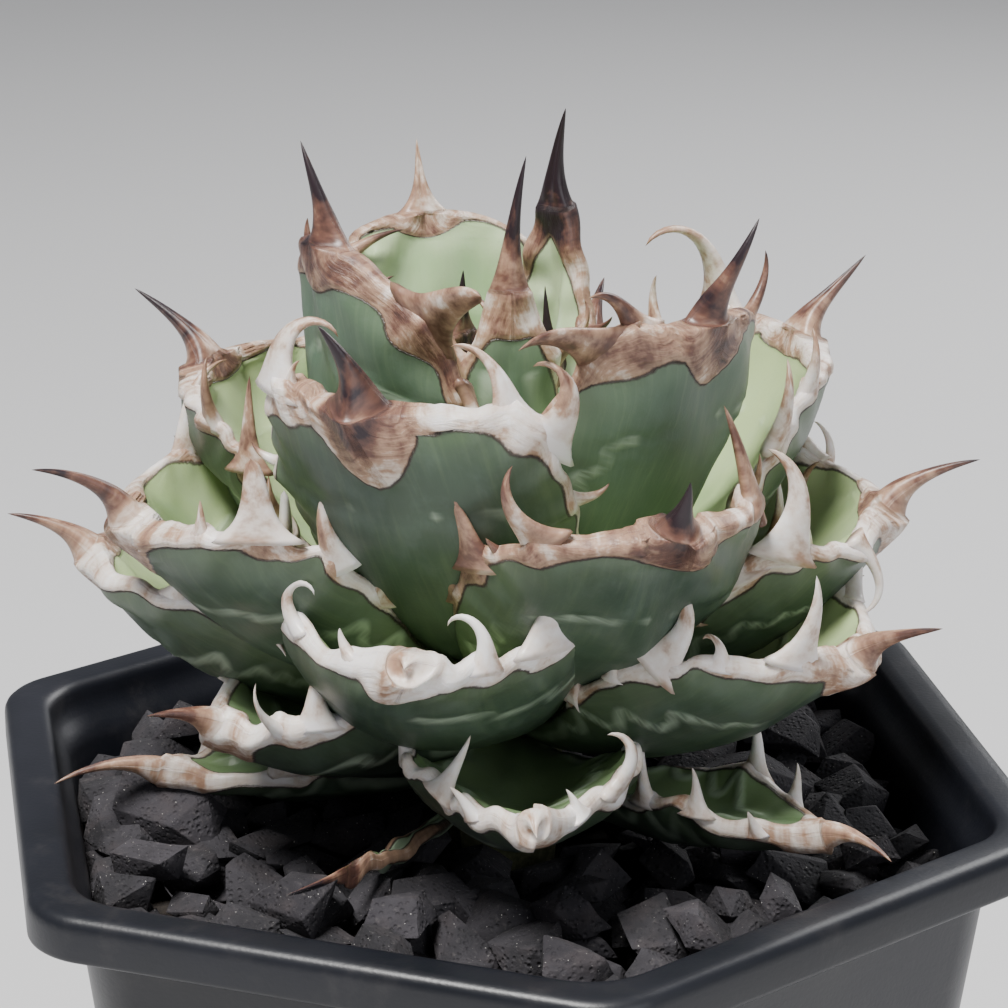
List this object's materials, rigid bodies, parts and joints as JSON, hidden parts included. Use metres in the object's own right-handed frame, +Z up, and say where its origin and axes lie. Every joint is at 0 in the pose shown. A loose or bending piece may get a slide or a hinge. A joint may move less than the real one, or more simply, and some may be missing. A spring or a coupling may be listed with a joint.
{
  "type": "potted agave",
  "caption": "Spiny compact agave rosette of cupped horn-edged leaves in a black six-sided plastic pot topped with dark lava gravel.",
  "frame": {"origin": "middle of the pot's flat underside, on the surface it stands on", "axes": "+Z up along the pot's axis and the plant's stem; the pot's corners point along +X and -X and two of its flats face +Y and -Y"},
  "size_m": [0.158, 0.14, 0.2135],
  "materials": {
    "pot": "black moulded plastic with a satin sheen",
    "soil": "dark damp potting soil",
    "gravel": "rough dark lava gravel",
    "stone": "rough angular lava stone",
    "stem": "short fibrous green-brown plant stem",
    "leaf_old": "old thick leaf, dull dark green, grey-white horny margin, teeth and spine",
    "leaf_middle": "thick waxy leaf, grey-green, pale tan horny margin, teeth and brown spine",
    "leaf_young": "young waxy leaf, pale green, brown horny margin, teeth and near-black spine"
  },
  "bodies": {
    "root": {"gravel_bed": "gravel", "leaf_01": "leaf_old", "leaf_02": "leaf_old", "leaf_03": "leaf_old", "leaf_04": "leaf_old", "leaf_05": "leaf_old", "leaf_06": "leaf_old", "leaf_07": "leaf_old", "leaf_08": "leaf_old", "leaf_09": "leaf_old", "leaf_10": "leaf_middle", "leaf_11": "leaf_middle", "leaf_12": "leaf_middle", "leaf_13": "leaf_middle", "leaf_14": "leaf_middle", "leaf_15": "leaf_middle", "leaf_16": "leaf_middle", "leaf_17": "leaf_middle", "leaf_18": "leaf_middle", "leaf_19": "leaf_middle", "leaf_20": "leaf_middle", "leaf_21": "leaf_middle", "leaf_22": "leaf_middle", "leaf_23": "leaf_young", "leaf_24": "leaf_young", "leaf_25": "leaf_young", "leaf_26": "leaf_young", "leaf_27": "leaf_young", "leaf_28": "leaf_young", "leaf_29": "leaf_young", "leaf_30": "leaf_young", "pot": "pot", "soil": "soil", "stem": "stem", "stone_01": "stone", "stone_02": "stone", "stone_03": "stone", "stone_04": "stone", "stone_05": "stone", "stone_06": "stone", "stone_07": "stone", "stone_08": "stone", "stone_09": "stone", "stone_10": "stone", "stone_11": "stone", "stone_12": "stone", "stone_13": "stone", "stone_14": "stone", "stone_15": "stone", "stone_16": "stone", "stone_17": "stone", "stone_18": "stone"}
  },
  "joints": []
}
